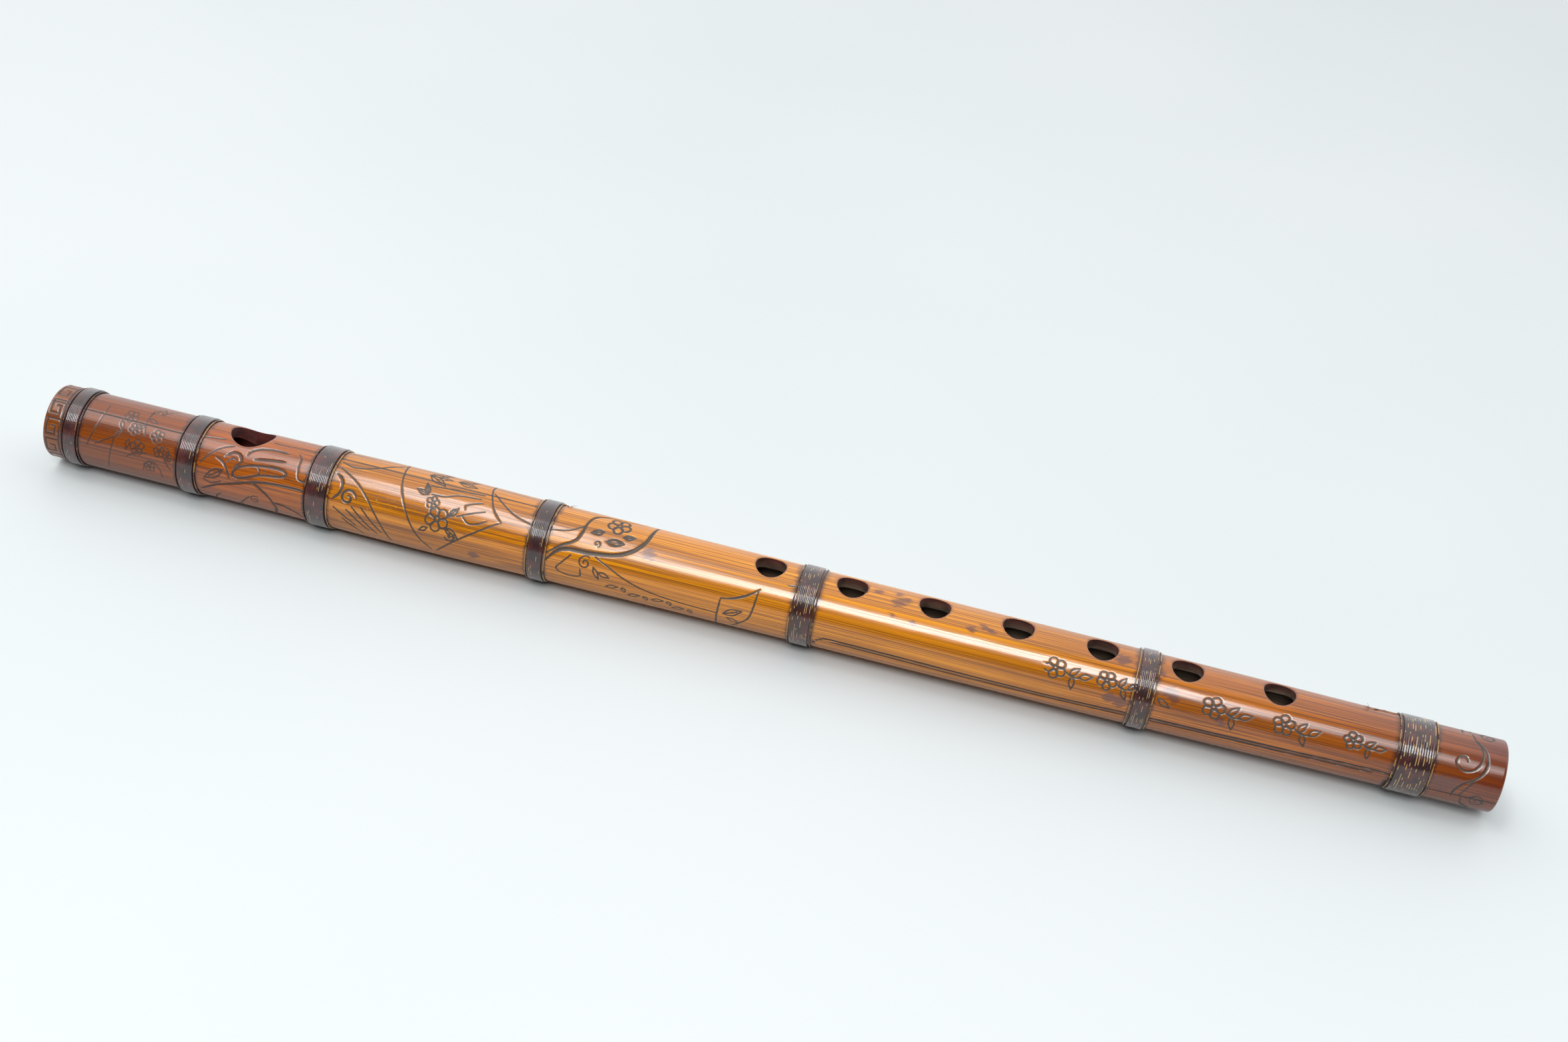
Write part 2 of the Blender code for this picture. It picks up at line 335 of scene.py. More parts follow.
class Carver:
    """Cuts strokes into a grid over the tube's skin. A cut's value is its depth in mm."""

    def __init__(self, s, a):
        self.s = s
        self.a = a
        self.depth = np.zeros((len(s), len(a)))
        self.ink = np.zeros_like(self.depth)

    def stamp(self, s, a, half_width, depth, ink):
        for shifted in (a, a - GIRTH, a + GIRTH):
            if not self.a[0] - half_width < shifted < self.a[-1] + half_width:
                continue
            rows = slice(*np.searchsorted(self.s, (s - half_width, s + half_width)))
            columns = slice(*np.searchsorted(self.a, (shifted - half_width, shifted + half_width)))
            reach = np.hypot(self.s[rows, None] - s, self.a[None, columns] - shifted) / half_width
            cut = np.clip(1 - reach ** 2, 0, 1)
            patch = self.depth[rows, columns]
            np.maximum(patch, depth * cut, out=patch)
            patch = self.ink[rows, columns]
            np.maximum(patch, ink * cut, out=patch)

    def stroke(self, path, width, depth, taper=1.2, ink=1.0):
        """A cut along a path, which narrows over its first and last stretch of taper mm."""
        path = np.asarray(path)
        run = np.concatenate([[0], np.cumsum(np.linalg.norm(np.diff(path, axis=0), axis=1))])
        for (s, a), here in zip(path, run):
            near_end = min(here, run[-1] - here) / taper if taper else 1.0
            share = 0.45 + 0.55 * min(1.0, near_end)
            self.stamp(s, a, max(width * share / 2, 0.25), depth * share, ink)

    def curve(self, points, **how):
        self.stroke(curve_through(points), **how)

    def curves(self, how, *paths):
        for points in paths:
            self.curve(points, **how)

    def lines(self, points, **how):
        self.stroke(straight_through(points), **how)

    def circle(self, s, a, radius, **how):
        turn = np.linspace(0, math.tau, 40)
        self.stroke(np.stack([s + radius * np.cos(turn), a + radius * np.sin(turn)], 1), taper=0, **how)

    def spiral(self, s, a, radius, turns, start, hand=1, **how):
        """A scroll that opens from its eye out to the given radius."""
        t = np.linspace(0, 1, int(60 * turns))
        angle = math.radians(start) + hand * math.tau * turns * t
        reach = radius * (0.18 + 0.82 * t)
        self.stroke(np.stack([s + reach * np.cos(angle), a + reach * np.sin(angle)], 1), **how)

    def leaf(self, s, a, heading, length, breadth, rib=True, **how):
        """Two bowed edges that meet at both ends, with a rib between them."""
        along = np.array([math.cos(math.radians(heading)), math.sin(math.radians(heading))])
        across = np.array([-along[1], along[0]])
        base = np.array([s, a])
        for side in (1, -1):
            middle = base + along * length * 0.45 + across * side * breadth / 2
            self.curve([base, middle, base + along * length], **how)
        if rib:
            self.curve([base, base + along * length * 0.75], **{**how, "width": 0.4, "depth": 0.08})

    def sprig(self, s, a, size, headings, **how):
        """Leaves that fan out from one stalk."""
        for heading in headings:
            self.leaf(s, a, heading, size, size * 0.34, **how)

    def blossom(self, s, a, size, petals=5, turn=0.0, **how):
        """Round petals about a small eye."""
        for k in range(petals):
            angle = turn + math.tau * k / petals
            reach = size * 0.62
            self.circle(s + reach * math.cos(angle), a + reach * math.sin(angle), size * 0.4, **how)
        self.circle(s, a, size * 0.2, **how)


HAIR = {"width": 0.46, "depth": 0.05, "ink": 0.75}
FINE = {"width": 0.46, "depth": 0.08}
MEDIUM = {"width": 0.58, "depth": 0.12}
BOLD = {"width": 0.85, "depth": 0.24}
WIDE = {"width": 1.4, "depth": 0.32}
FRET = {"width": 0.6, "depth": 0.16, "taper": 0}


def turned(points, shift):
    """The same points, moved round the tube."""
    return [(s, a + shift) for s, a in points]


def carve_key_ring(cut):
    """A running key fret round the head rim: one squared spiral after another on a common line."""
    count = 11
    repeat = GIRTH / count
    hook = [(4.7, 0.6), (1, 0.6), (1, 4.7), (3.5, 4.7), (3.5, 2.5), (2.3, 2.5)]
    for k in range(count):
        for points in ([(4.7, 0), (4.7, repeat)], hook):
            cut.lines(turned(points, repeat * k - GIRTH / 2), **FRET)


def carve_plum_branch(cut):
    """Thin branches with round blossoms and leaves, between the head-end and crown bindings."""
    cut.curves(
        HAIR,
        [(16, 1.5), (15.6, 5), (14.6, 9), (13, 14)],
        [(15.3, 13), (17.6, 11.6), (20.4, 10)],
        [(20.4, 10.2), (19.8, 14), (18.6, 20)],
        [(28, -0.5), (27.6, 4), (28.4, 7.5)],
        [(24.5, 14.5), (27, 12.6), (30, 12.4)],
        [(30.5, 0.5), (31.8, -1.5), (33.2, -3.6)],
        [(34.5, 9.4), (36.2, 10.6), (35.4, 13), (37, 15.5)],
        [(29, 17.6), (30.2, 15), (32.4, 14.4), (34, 16.4), (34.4, 19)],
    )
    for s, a, size in ((23, 3.2, 1.9), (25.4, 6.6, 1.7), (27.2, 11.4, 2), (32, 7.2, 1.8),
                       (33.4, 11, 1.5), (31, 16, 1.6), (36, 12, 1.2)):
        cut.blossom(s, a, size, turn=s, **HAIR)
    for s, a, heading in ((27.6, 1, -60), (27.8, 2.6, 20), (28, 5, 150), (21, 5, 70),
                          (30.6, 0.4, -100), (20.4, 10, -50), (24.6, 9.6, 100)):
        cut.leaf(s, a, heading, 3, 1, rib=False, **HAIR)


def carve_cloud_panel(cut):
    """Bold scrolls, a rounded frame and long flowing lines, between the crown and lip bindings."""
    cut.curves(
        MEDIUM,
        [(45.2, 11), (48, 7.6), (50.5, 5.7), (53, 4.7)],
        [(52.6, 9.2), (53.8, 8), (55, 8.2)],
        [(61, 8.6), (61.8, 9.7), (61.5, 10.9)],
        [(46.4, 15.6), (48.8, 16.2), (51.4, 15)],
        [(59.4, 17.8), (57.4, 20.4), (55, 24.4)],
        [(51, 19.4), (49.4, 21.4), (48.4, 24.4)],
        [(70.8, 2.6), (71.8, 3.8), (71.9, 6.6), (72.6, 9.2), (74.8, 9.8)],
    )
    cut.curves(
        BOLD,
        [(51.6, 8), (53.6, 6.4), (55.6, 6.8), (56.2, 8.6), (54.6, 10.4)],
        [(57.4, 6.4), (58.2, 4.9), (60.4, 3.6), (64, 3), (68, 3.1)],
        [(59.6, 7), (63.6, 6.2), (68, 5.7)],
        [(49.4, 8.8), (51.4, 9.6), (52.8, 11.4), (53.8, 13.4)],
        [(45.4, 19.4), (50, 16.6), (55, 14.8), (60, 13.2), (65, 12.3), (70, 12), (74.6, 12)],
        [(60.4, 13.2), (63.2, 14.8), (65.2, 16.6), (66.2, 18.4), (66.8, 20.4), (65.6, 24)],
        [(66, 18), (69, 18.1), (72, 19.4), (74.6, 21.4)],
    )
    frame_line = [(54.6, 11.4), (56.4, 9.8), (60, 8.6), (64.5, 8), (68.2, 8.1), (69, 9.1), (67.6, 9.9),
                  (62, 10.8), (57.4, 12.6), (55, 12.8), (54.6, 11.4)]
    cut.curve(frame_line, taper=0, **BOLD)
    cut.leaf(51.8, 11.6, 146, 6.2, 2.2, **MEDIUM)
    cut.spiral(61, 18.6, 1.5, 1.3, 200, **FINE)


def carve_spade_panel(cut):
    """A pointed panel that holds a flower spray, with slanted lines beside it, up to the barrel binding."""
    cut.curves(
        MEDIUM,
        [(82.6, 1.5), (86, 2.4), (89.6, 1.8), (93.4, 0), (98.4, -3.2)],
        [(83, 3.4), (88, 6.2), (91.8, 9.4), (94.8, 13), (97.2, 16.6), (99.4, 21)],
        [(83.4, 14), (89.6, 18)],
        [(87, 13.9), (93.4, 18.9)],
        [(88.4, 12.8), (95.6, 19.4)],
        [(91, 12.4), (96.8, 18.4)],
        [(86, 16.8), (91.6, 21)],
        [(98.7, -5), (99.3, 0.4), (100.6, 5.4), (103.2, 10.6), (106.6, 15.8), (110.8, 20.2)],
        [(112.2, 20.2), (115, 17.2), (118.6, 14.2), (123.6, 10.8), (128.6, 7.7)],
        [(128.6, 7.7), (126, 5), (124.2, 1.6), (123.1, -2), (123, -5)],
        [(124, -0.6), (127.6, 2.4), (131.6, 4.8), (136.6, 6.2)],
        [(108.6, 4.7), (112, 4.5), (116, 3.2), (121.6, 2.7)],
        [(107.6, 2.4), (113, 1.8), (122, 1.2)],
        [(116.8, 8.8), (119, 7.8), (121.2, 6.8), (123.8, 5.9)],
        [(118.4, 8.6), (120.2, 9.8), (122.6, 9.4), (124.8, 8.2)],
        [(118.6, 6.6), (118.4, 5.4), (120.4, 4.4), (122.4, 3.8)],
    )
    cut.curve([(82.6, 5.2), (84.6, 7), (84.6, 9.8), (82.8, 12)], **BOLD)
    cut.spiral(87, 10.8, 2.3, 1.3, 250, **BOLD)
    cut.sprig(105.6, -1.8, 6.4, (-26, 2, 30), **FINE)
    cut.sprig(113.6, -1.8, 5.6, (-24, 10), **FINE)
    cut.sprig(107.8, 5, 3.6, (196, 246), **MEDIUM)
    cut.blossom(111.8, 10.6, 3.1, turn=0.4, **MEDIUM)
    cut.blossom(109.6, 6.8, 1.7, turn=1.1, **FINE)
    cut.leaf(114.6, 9.4, -52, 3.6, 1.3, **MEDIUM)
    cut.leaf(114.2, 12.2, 28, 4.4, 1.6, **MEDIUM)
    cut.leaf(109.6, 13.2, 150, 2.6, 1, rib=False, **MEDIUM)
    cut.spiral(116, 14.2, 1.5, 1.2, 90, **MEDIUM)


def carve_ribbon(cut):
    """A broad double ribbon with a flower in its bend, a trailing line and a small pennant."""
    cut.curve([(142.2, 13.9), (144.6, 11.2), (147.6, 9.9), (153.6, 9.6), (160, 8.6), (164, 6.6),
               (166.6, 3.4), (167.5, -0.8), (168, -5)], taper=6, **WIDE)
    cut.curve([(142.2, 12), (145.6, 9.4), (148.8, 7.4), (150, 4.8), (150.5, 1.4), (151.8, -1.8),
               (155, -3.7), (160, -4.3), (165, -4.6)], taper=5, width=0.95, depth=0.3)
    cut.curve([(155, 10.3), (159, 12.1), (163, 14), (168, 15.8), (174, 16.9), (181, 17.5),
               (188.8, 17.7)], taper=3, width=0.5, depth=0.16)
    cut.curve([(189.3, 12.8), (192, 12.3), (195, 11), (197, 9.7), (198.8, 8.2)],
              taper=4, width=0.85, depth=0.26)
    cut.curves(
        MEDIUM,
        [(142.2, 6), (146.6, 5), (150.2, 2.8)],
        [(198.5, 8.6), (198.1, 13), (197.2, 16.8), (195.2, 19.4), (192.6, 22.6)],
        [(205.6, 5.3), (208, 5)],
    )
    cut.lines([(189.3, 12.8), (188.8, 18), (188.4, 25)], **MEDIUM)
    cut.curve([(148.6, 11.2), (146.6, 13.6), (145.2, 15.9), (148.4, 17.2), (151.6, 16.6), (151.6, 14.6)],
              **FINE)
    cut.blossom(158.6, -0.4, 3, turn=0.3, **BOLD)
    cut.leaf(155.6, 3, 160, 3.6, 1.5, **BOLD)
    cut.leaf(156.6, 5.6, -4, 5, 1.7, **BOLD)
    cut.leaf(160.6, 3.4, -12, 3.4, 1.3, **BOLD)
    cut.spiral(154.6, 6.8, 1, 1.1, 30, **MEDIUM)
    cut.spiral(152.6, 12.4, 1.9, 1.4, 160, **FINE)
    cut.leaf(155, 13, 62, 3.6, 1.1, rib=False, **FINE)
    cut.leaf(156.4, 14.2, 14, 3.2, 1.2, rib=False, **FINE)
    cut.leaf(190.4, 17.4, -24, 5.4, 2, **FINE)
    cut.leaf(191.6, 18.6, 22, 3.4, 1.3, rib=False, **FINE)
    for k, s in enumerate((160.4, 166.4, 172.8, 178.4)):
        a = 17.4 + 0.8 * (k % 2) + 0.5 * k
        cut.leaf(s - 1.6, a + 0.6, -14, 3.4, 1.1, rib=False, **FINE)
        cut.spiral(s + 3, a + 0.3, 0.9, 1.1, 40, **FINE)


def carve_flower_row(cut):
    """Five separate flowers in a row under the lower finger holes, each with leaves on a short stalk."""
    for k, (s, a, size, tilt) in enumerate((
        (278, 9.4, 1, 8), (291, 9.4, 0.9, -10), (318.4, 9.6, 1.05, 4), (336, 9.6, 1, -6),
        (353, 9.2, 0.85, 12),
    )):
        cut.blossom(s - 1.7 * size, a, 2.7 * size, turn=0.5 + k, **MEDIUM)
        cut.curve([(s + size, a + 0.4), (s + 2.8 * size, a + 1.3 * size), (s + 5.2 * size, a + 1.2 * size)],
                  **MEDIUM)
        for along, heading in ((1.9, -52), (2.8, 76), (4.4, -24)):
            cut.leaf(s + along * size, a + 1.1 * size, heading + tilt, 3.5 * size, 1.4 * size, rib=False,
                     **FINE)
    cut.leaf(302.6, 10.8, 26, 3.8, 1.3, rib=False, **FINE)


def carve_foot_clouds(cut):
    """Paired cloud scrolls that repeat round the foot."""
    count = 3
    inner = [(380.2, -2.8), (380.8, 0), (382.4, 2.6), (382.9, 6), (381.4, 9), (378.8, 9.9),
             (376.9, 8.4), (377.2, 6.4), (378.8, 6), (379.5, 7.2)]
    outer = [(380.6, -0.4), (383.2, 2.6), (384.2, 6), (383.7, 9.2), (382, 11.6), (379.4, 13.6),
             (378, 16.2), (377.8, 18.4)]
    tails = ([(382.2, 11.4), (380.6, 14.8), (379.6, 17.2)],
             [(381.6, 18), (383.4, 16.2), (385.2, 16.8), (385.8, 18.8)])
    for k in range(count):
        shift = GIRTH / count * k
        cut.curve(turned(inner, shift), **MEDIUM)
        cut.curve(turned(outer, shift), width=0.65, depth=0.2)
        for tail in tails:
            cut.curve(turned(tail, shift), **FINE)
        cut.spiral(384.2, -2.6 + shift, 1.9, 1.4, 100, **FINE)


def carve_back(cut):
    """Leaf sprays on the side away from the holes, one in each plain stretch."""
    for s, a, size in ((24, -19, 1.3), (60, -20, 1.5), (110, -19, 1.7), (170, -20, 1.6),
                       (250, -20, 1.6), (330, -19, 1.4)):
        stalk = [(-9, 1.4), (-3, -0.6), (4, 0.4), (8, -1.2)]
        cut.curve([(s + along * size, a + up) for along, up in stalk], **MEDIUM)
        for along, heading in ((-6, 120), (-3.6, 236), (-1, 60), (1.6, 300), (4.2, 40), (6.4, 322)):
            cut.leaf(s + along * size, a, heading, 4.4 * size, 1.3 * size, **MEDIUM)


def carve_all(cut):
    for carve in (carve_key_ring, carve_plum_branch, carve_cloud_panel, carve_spade_panel, carve_ribbon,
                  carve_flower_row, carve_foot_clouds, carve_back):
        carve(cut)


def cut_cracks(cut):
    """The thin splits along the grain, and the open double split on the front of the lower half."""
    thin = [
        (0.4, 0.1, [(0.6, 4.3), (5, 4.2), (11, 4.4), (24, 4.5), (38, 4.6), (50, 3.3)]),
        (0.42, 0.14, [(62.6, 0.4), (75, 0.1), (96, 0.4), (118, 0.5), (137, 0.2)]),
        (0.4, 0.14, [(371.8, 17.9), (380, 17.6), (388.6, 17.2)]),
    ]
    open_splits = [
        (0.72, 0.3, [(214.2, 22.6), (214.8, 20), (216.6, 18), (220, 17.4), (240, 17.6), (262, 17.9),
                     (280, 17.8), (296.5, 17.2)]),
        (0.62, 0.26, [(219, 18.3), (232, 18.6), (250, 19), (268, 19.1), (285, 18.7),
                      (296.5, 18.2)]),
        (0.72, 0.3, [(301.5, 17.1), (320, 16.8), (340, 16.4), (361.8, 16.1), (362, 19.5),
                     (362, 23)]),
        (0.6, 0.24, [(301.5, 18.1), (325, 17.7), (350, 17.2), (358, 17)]),
    ]
    for width, depth, points in thin + open_splits:
        cut.curve(points, width=width, depth=depth)
    for stained in ([(217, 18.3), (245, 18.3), (270, 18.5), (296.5, 17.7)],
                    [(301.5, 17.6), (325, 17.2), (362, 16.5)]):
        cut.curve(stained, width=1.5, depth=0.14, ink=0.42, taper=6)


# ---- the tube

def spaced(*spans):
    """Places along a line: each span is (start, end, gap)."""
    runs = [np.linspace(a, b, max(2, int(round((b - a) / gap)) + 1))[:-1] for a, b, gap in spans]
    return np.concatenate(runs + [[spans[-1][1]]])


def skin_grid():
    """Places along the tube, close together at the rims and where it is carved, and angles round it."""
    rim = np.array([0.0, 0.04, 0.12, 0.25, 0.4, 0.6])
    middle = spaced(
        (0.8, 38.0, 0.22), (38.0, 44.0, 1.0), (44.0, 75.0, 0.22), (75.0, 82.0, 1.0), (82.0, 136.6, 0.22),
        (136.6, 142.0, 1.0), (142.0, 206.0, 0.22), (206.0, 274.0, 0.8), (274.0, 361.0, 0.24),
        (361.0, 372.0, 1.0), (372.0, LENGTH - 0.8, 0.22),
    )
    s = np.concatenate([rim, middle, LENGTH - rim[::-1]])
    a = spaced(
        (-GIRTH / 2, -9.0, 0.4), (-9.0, -0.6, 0.25), (-0.6, 1.2, 0.13), (1.2, 3.2, 0.2), (3.2, 5.2, 0.14),
        (5.2, 15.8, 0.19), (15.8, 19.6, 0.13), (19.6, 25.0, 0.28), (25.0, GIRTH / 2, 0.4),
    )[:-1]
    return s, a


HOLE_EDGE = 0.55  # how far from a hole its rim begins to round off, in mm
HOLE_SINK = 0.28  # how deep the rounding is at the hole's edge, in mm
RIM_WIDTH = 0.6  # how far from either end of the tube the rims begin to round off, in mm


def nearest_hole(s, theta, radius):
    """How far each place is from the closest hole's edge, in mm, about: negative inside a hole."""
    found = np.full(np.broadcast(s, theta, radius).shape, 99.0)
    for place, turn, half_length, half_width in DRILLED:
        reach = np.hypot((s - place) / half_length, radius * np.sin(theta - turn) / half_width)
        distance = (reach - 1) * min(half_length, half_width)
        found = np.where(np.cos(theta - turn) > 0, np.minimum(found, distance), found)
    return found


def skin_radius(s, a, carved, cracked):
    """The finished outer radius at each place of the grid, in mm."""
    radius = tube_radius(s)[:, None] - np.maximum(carved, cracked)
    drift = 5.0 * wander(s, 70.0, SEED)[:, None]
    fibres = wander(a[None, :] + drift, 0.55, SEED + 1, around=True) * 0.007
    fibres = fibres * (0.7 + 0.3 * wander(s, 12.0, SEED + 2)[:, None])
    swell = 0.03 * wander(s, 26.0, SEED + 3)[:, None] * wander(a[None, :], 11.0, SEED + 4, around=True)
    edge = np.clip(1 - nearest_hole(s[:, None], -a[None, :] / ROUND, radius) / HOLE_EDGE, 0, 1)
    rim = np.clip(1 - np.minimum(s, LENGTH - s) / RIM_WIDTH, 0, 1)[:, None]
    rounding = RIM_WIDTH * (1 - np.sqrt(1 - rim ** 2))
    return radius + fibres + swell - HOLE_SINK * edge ** 2 - rounding


def tube_blank(s, a, skin):
    """The tube before its holes: skin, foot face, bore and head face in one closed ring."""
    theta = -a / ROUND
    bore_s = np.linspace(LENGTH, 0.0, 24)
    bore = np.full((len(bore_s), len(a)), BORE_RADIUS)
    bore += 0.02 * wander(bore_s, 30.0, SEED + 5)[:, None]
    shares = np.array([0.3, 0.65])[:, None]
    foot = skin[-1] + (BORE_RADIUS + 0.1 - skin[-1]) * shares
    head = skin[0] + (BORE_RADIUS + 0.1 - skin[0]) * shares[::-1]
    along = np.concatenate([s, np.full(2, LENGTH), bore_s, np.zeros(2)])
    radius = np.vstack([skin, foot, bore, head])
    return ring_mesh("tube_blank", along[:, None], radius, theta[None, :])


def hole_peg(name, place, lean, half_length, half_width):
    """A smooth oval peg that stands on the bore's axis and leans about it towards +Y."""
    sides, floor, top = 96, 0.0, 14.0
    turn = np.linspace(0, math.tau, sides, endpoint=False)
    ring = np.stack([place + half_length * np.cos(turn), half_width * np.sin(turn)], 1)
    points = []
    for z in (floor, top):
        for s, y in ring:
            across, up = y * math.cos(lean) + z * math.sin(lean), z * math.cos(lean) - y * math.sin(lean)
            points.append((HEAD_X + s * MM, across * MM, AXIS_Z + up * MM))
    faces = [tuple(range(sides))[::-1], tuple(range(sides, 2 * sides))]
    faces += [(i, (i + 1) % sides, sides + (i + 1) % sides, sides + i) for i in range(sides)]
    mesh = bpy.data.meshes.new(name)
    mesh.from_pydata(points, [], faces)
    return add_object(name, mesh)


def cut_holes(blank):
    """Drills the embouchure and the finger holes, and returns the finished mesh."""
    obj = add_object("tube_blank", blank)
    pegs = [hole_peg(f"hole_peg_{i}", *hole) for i, hole in enumerate(DRILLED)]
    for peg in pegs:
        cutter = obj.modifiers.new(peg.name, "BOOLEAN")
        cutter.operation = "DIFFERENCE"
        cutter.solver = "MANIFOLD"
        cutter.object = peg
    graph = bpy.context.evaluated_depsgraph_get()
    mesh = bpy.data.meshes.new_from_object(obj.evaluated_get(graph))
    for helper in [obj] + pegs:
        data = helper.data
        bpy.data.objects.remove(helper)
        bpy.data.meshes.remove(data)
    return mesh


def grid_value(grid, s, a, at_s, at_a):
    """A grid's value at scattered places, by straight interpolation."""
    i = np.clip(np.searchsorted(s, at_s) - 1, 0, len(s) - 2)
    j = np.clip(np.searchsorted(a, at_a) - 1, 0, len(a) - 2)
    u = np.clip((at_s - s[i]) / (s[i + 1] - s[i]), 0, 1)
    v = np.clip((at_a - a[j]) / (a[j + 1] - a[j]), 0, 1)
    low = grid[i, j] * (1 - v) + grid[i, j + 1] * v
    high = grid[i + 1, j] * (1 - v) + grid[i + 1, j + 1] * v
    return low * (1 - u) + high * u


STAINS = (  # place along, place round and radius of the purple-brown spots
    (228.4, 0.3, 1.1), (233.4, -1.2, 0.9), (234.2, 2.2, 1.5), (236, 0.8, 0.9), (168.6, 6.2, 1.4),
    (253.6, 4.8, 1.1), (256.6, 3.4, 1), (258.6, 3.9, 0.8), (292.4, 2.5, 1.5), (291, 13.6, 1.3),
    (293.8, 14.2, 1.6), (305.4, 8.4, 1.5), (306.6, 9.8, 1), (374.4, 14.8, 2.6), (377, 13.4, 1.4),
    (233.2, 6.4, 0.7), (238.6, 7.2, 0.7), (318.8, 12.6, 1.1), (302.4, 4, 1), (122.6, 18.4, 1.2),
)


def stain_value(s, a):
    """How strongly each place is stained, from 0 to 1, with ragged edges."""
    found = np.zeros_like(s)
    ragged = 0.35 * wander(s * 1.3 + a * 2.1, 0.8, SEED + 6) + 0.2 * wander(a * 3.0 - s, 0.5, SEED + 7)
    for place, turn, size in STAINS:
        reach = np.hypot((s - place) / 1.25, a - turn) / size + ragged
        found = np.maximum(found, np.clip((1.15 - reach) * 3.0, 0, 1))
    return found


def binding_shade(s, a):
    """How much dark lacquer has gathered beside the bindings at each place."""
    found = np.zeros_like(s)
    for name in BINDING_NAMES:
        start = node_span(f"{name}_binding_head_side_strand")[0]
        end = node_span(f"{name}_binding_foot_side_strand")[1]
        outside = np.maximum(start - s, s - end)
        spread = 0.7 + 0.45 * wander(a, 1.6, SEED + 8, around=True)
        spread = spread + 0.3 * wander(a, 0.6, SEED + 9, around=True)
        share = 1.05 - np.maximum(outside, 0) / np.maximum(spread, 0.25) / 1.3
        found = np.maximum(found, np.clip(share, 0, 1))
    return found


def paint_tube(mesh, s_grid, a_grid, carved, cracked):
    """Writes what each point of the tube is, for its material to read."""
    points = np.empty(len(mesh.vertices) * 3, np.float32)
    mesh.vertices.foreach_get("co", points)
    points = points.reshape(-1, 3).astype(float)
    s = (points[:, 0] - HEAD_X) / MM
    across, up = points[:, 1] / MM, (points[:, 2] - AXIS_Z) / MM
    radius = np.hypot(across, up)
    a = -np.arctan2(across, up) * ROUND
    outer = tube_radius(s)
    bored = np.clip((outer - 0.75 - radius) / 0.3, 0, 1)
    hole = nearest_hole(s, np.arctan2(across, up), radius)
    in_hole = (hole < 0.03) & (radius > BORE_RADIUS - 0.5)
    inside = np.maximum(bored, in_hole)
    near_bore = np.clip((BORE_RADIUS + 0.3 - radius) / 0.2, 0, 1)
    skin = 1 - inside
    for key, values in {
        "carve": grid_value(carved, s_grid, a_grid, s, a) * skin,
        "crack": grid_value(cracked, s_grid, a_grid, s, a) * skin,
        "inside": inside,
        "bore": near_bore,
        "stain": stain_value(s, a) * skin,
        "shade": binding_shade(s, a) * skin,
        "lip": np.clip(1 - np.abs(hole) / 0.5, 0, 1) * skin,
        "along": s / LENGTH,
    }.items():
        set_attribute(mesh, key, values)


BODY_COLORS = (  # share of the length, and the lacquer's colour there
    (0.00, (120, 60, 10)), (0.03, (115, 51, 4)), (0.10, (124, 56, 3)), (0.13, (150, 70, 2)),
    (0.19, (155, 77, 2)), (0.22, (174, 101, 2)), (0.35, (184, 107, 2)), (0.38, (193, 115, 2)),
    (0.55, (194, 116, 2)), (0.66, (188, 112, 2)), (0.78, (162, 88, 2)), (0.90, (143, 71, 2)),
    (0.96, (122, 55, 4)), (1.00, (108, 43, 6)),
)


